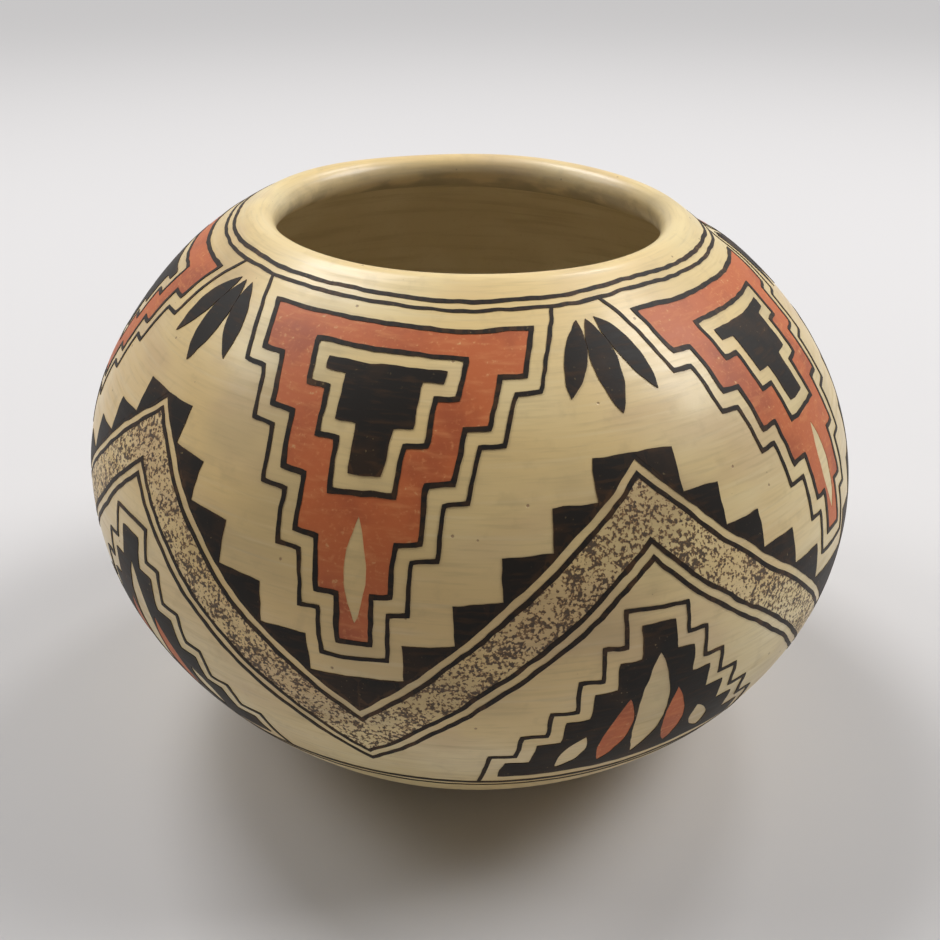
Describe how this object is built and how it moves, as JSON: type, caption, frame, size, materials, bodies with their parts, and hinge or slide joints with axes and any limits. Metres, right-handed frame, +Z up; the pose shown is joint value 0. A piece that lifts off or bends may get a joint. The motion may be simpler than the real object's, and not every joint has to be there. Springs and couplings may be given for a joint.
{
  "type": "wide-mouthed pottery jar",
  "caption": "Squat globular jar of coil-built pottery with a flat base, a wide round mouth and a rounded lip, polished cream outside with black, red and spattered painted bands.",
  "frame": {"origin": "middle of the flat underside, on the surface that the jar stands on", "axes": "+Z up along the jar's axis, through the middle of the mouth; -Y faces the viewer in the picture"},
  "size_m": [0.176, 0.176, 0.1242],
  "materials": {
    "polished_slip": "cream slip, polished with a stone to a satin sheen",
    "bare_clay": "scraped and wiped grey-olive clay, matt",
    "black_paint": "brushed black mineral paint, slightly glossy",
    "red_paint": "brushed red clay paint, worn satin",
    "spatter_paint": "thin brown paint spattered on the slip"
  },
  "bodies": {
    "root": {"base": "polished_slip", "coil_1": "polished_slip", "coil_2": "polished_slip", "coil_3": "polished_slip", "coil_4": "polished_slip", "coil_5": "polished_slip", "coil_6": "polished_slip", "coil_7": "polished_slip", "coil_8": "polished_slip", "coil_9": "polished_slip", "rim_coil": "polished_slip"}
  },
  "joints": []
}
